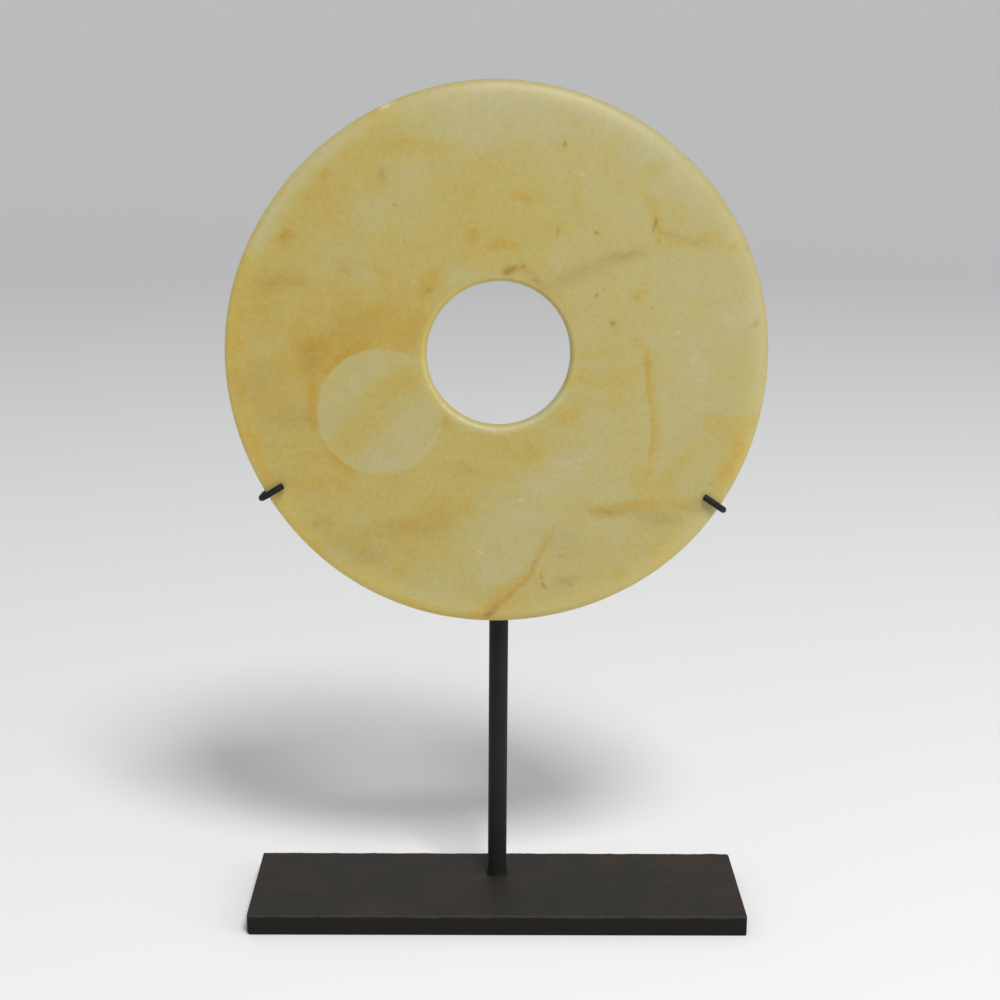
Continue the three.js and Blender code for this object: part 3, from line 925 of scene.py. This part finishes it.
def saw_plate(settings):
    bm = bmesh.new()
    size = PLATE_HIGH - PLATE_LOW
    bmesh.ops.create_cube(bm, size=1, matrix=Matrix.Translation(PLATE_MIDDLE) @ Matrix.Diagonal((*size, 1)))
    for (side, depth), radius in PLATE_CORNERS.items():
        upright = [
            e for e in bm.edges
            if all((v.co - PLATE_MIDDLE).x * side > size.x / 2 - 0.01 for v in e.verts)
            and all((v.co - PLATE_MIDDLE).y * depth > size.y / 2 - 0.01 for v in e.verts)
        ]
        bevel(bm, upright, radius, 6)
    for x in np.arange(PLATE_LOW.x + 4, PLATE_HIGH.x - 3, PLATE_CUT):
        cut(bm, (x, 0, 0), (1, 0, 0))
    outer = [e for e in level_edges(bm) if abs(e.verts[0].co.y - e.verts[1].co.y) < size.y - 1]
    bevel(bm, outer, settings.arris / MM, 3)
    for inset in EDGE_CUTS:
        cut(bm, (0, PLATE_LOW.y + inset, 0), (0, 1, 0))
        cut(bm, (0, PLATE_HIGH.y - inset, 0), (0, 1, 0))
        cut(bm, (0, 0, PLATE_TOP - inset), (0, 0, 1))
    knocked_in, knocked_up = KNOCKED
    for vert in bm.verts:
        x, y, z = vert.co
        if z > PLATE_TOP - 1 and abs(y - PLATE_MIDDLE.y) > size.y / 2 - 1:
            wear = 0.3 + 0.5 * noise.noise(Vector((x / 7, y, 3))) + 0.3 * noise.noise(Vector((x / 2.4, 5, 1)))
            wear = max(0.0, wear) * (1 if z > PLATE_TOP - 0.3 else 0.5)
            vert.co.y -= math.copysign(0.35 * wear, y)
            vert.co.z -= 0.5 * wear
        # The front left corner is knocked round underneath.
        from_left = x - PLATE_LOW.x
        if from_left < knocked_in and z < PLATE_LOW.z + 1:
            vert.co.z += knocked_up * (1 - from_left / knocked_in)
    steel = plate_material(settings)
    return finish_piece(bm, "sawn_base_plate", steel, "blackened_steel", "base_plate", sharp=14)


def turn_post(settings):
    bm = bmesh.new()
    height = POST_HIGH.z - POST_LOW.z
    middle = Vector((POST_MIDDLE.x, POST_MIDDLE.y, POST_LOW.z + height / 2))
    bmesh.ops.create_cone(
        bm, cap_ends=True, segments=POST_SIDES, radius1=POST_RADIUS, radius2=POST_RADIUS, depth=height,
        matrix=Matrix.Translation(middle),
    )
    bevel(bm, [e for e in level_edges(bm) if e.verts[0].co.z > middle.z], POST_ARRIS, 3)
    # The weld at its foot is dressed down to a low fillet.
    for rise in FILLET_CUTS:
        cut(bm, (0, 0, POST_LOW.z + rise), (0, 0, 1))
    top = FILLET_CUTS[-1]
    for vert in bm.verts:
        rise = vert.co.z - POST_LOW.z
        if rise < top - 0.1 and math.hypot(vert.co.x - middle.x, vert.co.y - middle.y) > 1:
            grow = 1 + (FILLET_WIDTH * max(0.0, 1 - rise / top) ** 2 + 0.1) / POST_RADIUS
            vert.co.x = middle.x + (vert.co.x - middle.x) * grow
            vert.co.y = middle.y + (vert.co.y - middle.y) * grow
    return finish_piece(bm, "round_post", rod_material(settings), "blackened_steel", "post")


def bent_wire(corners, radius, sides):
    """Wire along straight runs, with a round bend at each inner corner.

    corners holds pairs of a place and a bend radius, from the prong's tip to the braze.
    """
    bm = bmesh.new()
    places = [place for place, _ in corners]
    heading = (places[1] - places[0]).normalized()
    matrix = Matrix.Translation(places[0]) @ heading.to_track_quat("Z", "Y").to_matrix().to_4x4()
    bmesh.ops.create_circle(bm, cap_ends=False, segments=sides, radius=radius, matrix=matrix)
    ring = list(bm.edges)
    at = places[0]

    def run(ring, move):
        made = bmesh.ops.extrude_edge_only(bm, edges=ring)["geom"]
        bmesh.ops.translate(bm, verts=[g for g in made if isinstance(g, bmesh.types.BMVert)], vec=move)
        return [g for g in made if isinstance(g, bmesh.types.BMEdge) and all(v in made for v in g.verts)]

    for i in range(1, len(corners) - 1):
        place, bend = corners[i]
        before = (places[i - 1] - place).normalized()
        after = (places[i + 1] - place).normalized()
        half = before.angle(after) / 2
        centre = place + (before + after).normalized() * bend / math.sin(half)
        start = place + before * bend / math.tan(half)
        ring = run(ring, start - at)
        turn = math.pi - 2 * half
        made = bmesh.ops.spin(
            bm, geom=ring + list({v for e in ring for v in e.verts}), cent=centre, axis=after.cross(before),
            dvec=(0, 0, 0), angle=turn, steps=max(4, round(turn / math.radians(7))),
            use_merge=False, use_duplicate=False,
        )["geom_last"]
        ring = [g for g in made if isinstance(g, bmesh.types.BMEdge)]
        at = place + after * bend / math.tan(half)
    # The braze swells the last two millimetres.
    heading = (places[-1] - places[-2]).normalized()
    ring = run(ring, places[-1] - heading * 2.2 - at)
    for step, grow in ((0.9, 1.12), (0.7, 1.2), (0.6, 1.25)):
        ring = run(ring, heading * step)
        verts = list({v for e in ring for v in e.verts})
        centre = sum((v.co for v in verts), Vector()) / len(verts)
        for vert in verts:
            vert.co = centre + (vert.co - centre) * grow
    bmesh.ops.remove_doubles(bm, verts=bm.verts, dist=1e-4)
    ends = [e for e in bm.edges if e.is_boundary]
    bmesh.ops.holes_fill(bm, edges=ends, sides=0)
    bmesh.ops.recalc_face_normals(bm, faces=bm.faces)
    bevel(bm, ends, 0.25, 2)
    return bm


def hook_corners(disc, side, below, behind_below, gap):
    """The corners of one hook wire: the prong, round the disc's edge, behind it and in to the post."""
    matrix = disc_matrix(disc.lean)

    def spoke(radius, degrees, front):
        angle = math.radians(degrees)
        return matrix @ Vector((side * radius * math.cos(angle), -radius * math.sin(angle), front))

    bend_radius = DISC_RADIUS + gap + WIRE_RADIUS
    off = disc.thickness / MM / 2 + CLEARANCE + WIRE_RADIUS
    braze = (matrix @ Vector((0, -BRAZE_BELOW_CENTRE, 0))).z
    axis = Vector((POST_MIDDLE.x, POST_MIDDLE.y, braze))
    outwards = Vector((side, 0, 0))
    return [
        (spoke(DISC_RADIUS - PRONG_REACH, below, off - PRONG_LEAN), 0),
        (spoke(bend_radius, below, off), HOOK_BEND),
        (spoke(bend_radius, behind_below, -off), HOOK_BEND),
        (spoke(ARM_INNER_RADIUS, behind_below, -off), ARM_BEND),
        (axis + outwards * (POST_RADIUS + BRAZE_STRAIGHT), BRAZE_BEND),
        (axis + outwards * (POST_RADIUS - BRAZE_INSET), 0),
    ]


def bend_hooks(settings, disc):
    for name, node, *shape in HOOKS:
        bm = bent_wire(hook_corners(disc, *shape), WIRE_RADIUS, WIRE_SIDES)
        finish_piece(bm, name, rod_material(settings), "blackened_steel", node)


# ---------------------------------------------------------------- stage


def soft_box(name, towards, distance, size, power):
    """Square light that faces the disc's centre from a direction."""
    light = bpy.data.lights.new(name, "AREA")
    light.shape = "SQUARE"
    light.size = size
    light.energy = power
    box = bpy.data.objects.new(name, light)
    bpy.context.scene.collection.objects.link(box)
    towards = Vector(towards).normalized()
    box.location = DISC_CENTRE * MM + towards * distance
    box.rotation_mode = "QUATERNION"
    box.rotation_quaternion = towards.to_track_quat("Z", "Y")


def set_stage(settings):
    scene = bpy.context.scene
    scene.view_settings.view_transform = "Standard"
    scene.view_settings.look = "None"
    bm = bmesh.new()
    # A round floor whose edge bends up into the wall.
    wall = [(0.01, 0), (WALL_RADIUS, 0)]
    wall += [
        (WALL_RADIUS + WALL_BEND * math.sin(turn), WALL_BEND - WALL_BEND * math.cos(turn))
        for turn in np.linspace(0.1, 1.2, 12)
    ]
    verts = [bm.verts.new((radius, 0, height + CAD_BOX[0].z)) for radius, height in wall]
    edges = [bm.edges.new(pair) for pair in zip(verts, verts[1:])]
    revolve(bm, verts, edges, 96)
    middle = [e for e in bm.edges if e.is_boundary and e.verts[0].co.length < 0.1]
    bmesh.ops.holes_fill(bm, edges=middle, sides=0)
    bmesh.ops.recalc_face_normals(bm, faces=bm.faces)
    mesh = bpy.data.meshes.new("studio_floor")
    bm.to_mesh(mesh)
    bm.free()
    mesh.shade_smooth()
    floor = bpy.data.objects.new("studio_floor", mesh)
    scene.collection.objects.link(floor)
    material, tree = new_material("studio_paper")
    shader = add(
        tree, "BsdfPrincipled", {"Base Color": linear(PAPER), "Roughness": 0.95, "Specular IOR Level": 0.2},
    )
    add(tree, "OutputMaterial", {"Surface": shader.outputs[0]})
    mesh.materials.append(material)

    world = bpy.data.worlds.new("studio")
    scene.world = world
    world.use_nodes = True
    background = world.node_tree.nodes["Background"].inputs
    background["Color"].default_value = linear(SKY)
    background["Strength"].default_value = settings.sky

    soft_box("key_light", (0.2, -0.55, 0.81), 3.2, 0.9, settings.key_power)
    soft_box("side_light", (0.88, -0.42, 0.2), 2.0, 1.0, settings.side_power)

    lens = bpy.data.cameras.new("camera")
    lens.lens = settings.lens
    lens.sensor_width = SENSOR_WIDTH
    lens.shift_y = CAMERA_SHIFT
    camera = bpy.data.objects.new("camera", lens)
    scene.collection.objects.link(camera)
    camera.matrix_world = (
        Matrix.Translation((CAMERA_RIGHT, -settings.distance, settings.height))
        @ Matrix.Rotation(math.radians(CAMERA_PAN), 4, "Z")
        @ Matrix.Rotation(math.pi / 2 - settings.tilt, 4, "X")
        @ Matrix.Rotation(math.radians(CAMERA_ROLL), 4, "Z")
    )
    scene.camera = camera


# ---------------------------------------------------------------- add-on


class BIDISC_OT_carve_disc(bpy.types.Operator):
    """Carve the jade disc"""

    bl_idname = "bidisc.carve_disc"
    bl_label = "Carve Disc"

    def execute(self, context):
        carve_disc(context.scene.bi_disc)
        return {"FINISHED"}


class BIDISC_OT_saw_plate(bpy.types.Operator):
    """Saw the base plate"""

    bl_idname = "bidisc.saw_plate"
    bl_label = "Saw Base Plate"

    def execute(self, context):
        saw_plate(context.scene.bi_stand)
        return {"FINISHED"}


class BIDISC_OT_turn_post(bpy.types.Operator):
    """Cut the round post"""

    bl_idname = "bidisc.turn_post"
    bl_label = "Cut Post"

    def execute(self, context):
        turn_post(context.scene.bi_stand)
        return {"FINISHED"}


class BIDISC_OT_bend_hooks(bpy.types.Operator):
    """Bend both hook wires"""

    bl_idname = "bidisc.bend_hooks"
    bl_label = "Bend Hooks"

    def execute(self, context):
        bend_hooks(context.scene.bi_stand, context.scene.bi_disc)
        return {"FINISHED"}


class BIDISC_OT_set_stage(bpy.types.Operator):
    """Set the floor, lights and camera"""

    bl_idname = "bidisc.set_stage"
    bl_label = "Set Stage"

    def execute(self, context):
        set_stage(context.scene.bi_stage)
        return {"FINISHED"}


OPERATORS = (
    BIDISC_OT_carve_disc, BIDISC_OT_saw_plate, BIDISC_OT_turn_post, BIDISC_OT_bend_hooks, BIDISC_OT_set_stage,
)


class BIDISC_PT_panel(bpy.types.Panel):
    bl_idname = "BIDISC_PT_panel"
    bl_label = "Bi Disc"
    bl_space_type = "VIEW_3D"
    bl_region_type = "UI"
    bl_category = "Bi Disc"

    def draw(self, context):
        for operator in OPERATORS:
            self.layout.operator(operator.bl_idname)


CLASSES = (DiscSettings, StandSettings, StageSettings, *OPERATORS, BIDISC_PT_panel)


def register():
    for cls in CLASSES:
        bpy.utils.register_class(cls)
    bpy.types.Scene.bi_disc = bpy.props.PointerProperty(type=DiscSettings)
    bpy.types.Scene.bi_stand = bpy.props.PointerProperty(type=StandSettings)
    bpy.types.Scene.bi_stage = bpy.props.PointerProperty(type=StageSettings)


def unregister():
    del bpy.types.Scene.bi_disc, bpy.types.Scene.bi_stand, bpy.types.Scene.bi_stage
    for cls in reversed(CLASSES):
        bpy.utils.unregister_class(cls)


def main():
    register()
    bpy.ops.bidisc.set_stage()
    bpy.ops.bidisc.carve_disc()
    bpy.ops.bidisc.saw_plate()
    bpy.ops.bidisc.turn_post()
    bpy.ops.bidisc.bend_hooks()


if __name__ == "__main__":
    main()
